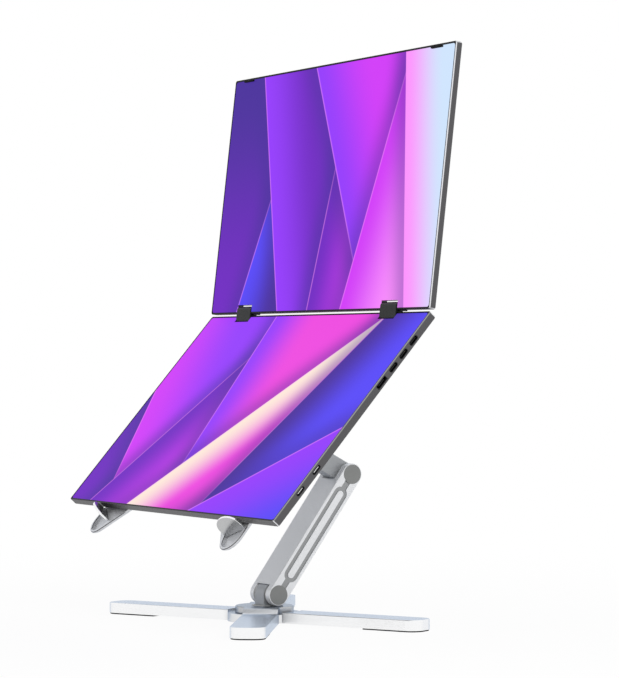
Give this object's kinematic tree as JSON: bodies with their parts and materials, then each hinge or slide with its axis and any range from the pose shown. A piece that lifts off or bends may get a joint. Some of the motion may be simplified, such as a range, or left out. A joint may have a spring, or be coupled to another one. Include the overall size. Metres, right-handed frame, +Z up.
{
  "type": "dual-screen portable monitor",
  "caption": "Portable monitor whose upper screen folds over the lower one on double-axis hinges, held by hooks on a tilting tray carried by a folding arm on a swivelling crossed base.",
  "frame": {"origin": "on the floor, under the pivot of the base, at the middle of the centre foot", "axes": "+X to the object's right as seen from its front, +Y to its back, +Z up"},
  "size_m": [0.3586, 0.1839, 0.4426],
  "materials": {
    "stand_aluminium": "fine satin silver, anodised",
    "cap_grey": "smooth mid-grey paint",
    "steel": "plain turned or stamped steel",
    "black_rubber": "matt black rubber",
    "nylon": "natural nylon",
    "bright_metal": "polished plating",
    "casing_grey": "fine satin dark grey",
    "bezel_black": "matt black",
    "display_glass": "smooth coated display glass",
    "light_guide": "clear acrylic with a white reflector",
    "circuit_board": "green solder mask",
    "hinge_dark": "satin dark grey"
  },
  "bodies": {
    "base": {"base_beam": "stand_aluminium", "base_feet": "black_rubber"},
    "cross_leg": {"cross_beam": "stand_aluminium", "cross_feet": "black_rubber", "centre_foot": "black_rubber", "pivot_washer": "nylon"},
    "knuckle": {"swivel_knuckle": "stand_aluminium", "pivot_bolt": "steel", "swivel_washer": "nylon"},
    "lower_link": {"lower_arm": "stand_aluminium", "base_hinge_shaft": "steel", "base_hinge_washers": "nylon", "elbow_shaft": "steel", "elbow_washers": "nylon", "arm_caps": "cap_grey"},
    "upper_link": {"upper_arm": "stand_aluminium"},
    "cradle": {"tray": "stand_aluminium", "tray_bracket": "stand_aluminium", "bracket_screws": "steel", "tray_shaft": "steel", "tray_washers": "nylon", "tray_caps": "cap_grey", "tray_pads": "black_rubber", "hook_pins": "steel"},
    "left_holder": {"left_hook": "bright_metal"},
    "right_holder": {"right_hook": "bright_metal"},
    "lower_screen": {"lower_rear_cover": "casing_grey", "lower_bezel": "bezel_black", "lower_lcd_panel": "display_glass", "lower_backlight": "light_guide", "main_board": "circuit_board", "port_board": "circuit_board", "usb_c_ports": "bright_metal", "hdmi_port": "bright_metal", "button_board": "circuit_board", "button_switches": "bezel_black", "lower_hinge_leaves": "steel", "lower_hinge_pins": "steel", "lower_hinge_rivets": "steel"},
    "hinge_links": {"left_hinge_block": "hinge_dark", "right_hinge_block": "hinge_dark"},
    "upper_screen": {"upper_rear_cover": "casing_grey", "upper_bezel": "bezel_black", "upper_lcd_panel": "display_glass", "upper_backlight": "light_guide", "driver_board": "circuit_board", "upper_hinge_leaves": "steel", "upper_hinge_pins": "steel", "upper_hinge_rivets": "steel", "upper_bumpers": "black_rubber"},
    "power_key": {"power_button": "hinge_dark"},
    "menu_key": {"menu_button": "hinge_dark"}
  },
  "joints": [
    {"name": "base_swivel", "type": "hinge", "parent": "base", "child": "knuckle", "pos_m": [0, 0, 0.013], "axis": [0, 0, 1], "continuous": true},
    {"name": "cross_leg_fold", "type": "hinge", "parent": "base", "child": "cross_leg", "pos_m": [0, 0, 0.0076], "axis": [0, 0, 1], "range_deg": [-5, 63]},
    {"name": "lower_arm_tilt", "type": "hinge", "parent": "knuckle", "child": "lower_link", "pos_m": [0, 0.004, 0.0218], "axis": [1, 0, 0], "range_deg": [-50, 25]},
    {"name": "elbow", "type": "hinge", "parent": "lower_link", "child": "upper_link", "pos_m": [0, 0.0701, 0.11481], "axis": [-1, 0, 0], "range_deg": [-4, 60]},
    {"name": "tray_tilt", "type": "hinge", "parent": "upper_link", "child": "cradle", "pos_m": [0, 0.00483, 0.1501], "axis": [1, 0, 0], "range_deg": [-40, 30]},
    {"name": "left_hook_fold", "type": "hinge", "parent": "cradle", "child": "left_holder", "pos_m": [-0.113, -0.08376, 0.07944], "axis": [0.8829, -0.308, -0.3543], "range_deg": [0, 90]},
    {"name": "right_hook_fold", "type": "hinge", "parent": "cradle", "child": "right_holder", "pos_m": [0.113, -0.08376, 0.07944], "axis": [0.8829, 0.308, 0.3543], "range_deg": [0, 90]},
    {"name": "monitor_lift", "type": "slide", "parent": "cradle", "child": "lower_screen", "axis": [0, -0.7547, 0.6561], "range_m": [0, 0.06]},
    {"name": "screen_link_fold", "type": "hinge", "parent": "lower_screen", "child": "hinge_links", "pos_m": [0, 0.04522, 0.23795], "axis": [-1, 0, 0], "range_deg": [-55.75, 76]},
    {"name": "upper_screen_fold", "type": "hinge", "parent": "hinge_links", "child": "upper_screen", "pos_m": [0, 0.04619, 0.24619], "axis": [-1, 0, 0], "range_deg": [-90, 42]},
    {"name": "power_button_press", "type": "slide", "parent": "lower_screen", "child": "power_key", "axis": [-1, 0, 0], "range_m": [0, 0.0005], "stiffness_N_per_m": 1500, "springref_m": -0.0003},
    {"name": "menu_button_press", "type": "slide", "parent": "lower_screen", "child": "menu_key", "axis": [-1, 0, 0], "range_m": [0, 0.0005], "stiffness_N_per_m": 1500, "springref_m": -0.0003}
  ]
}
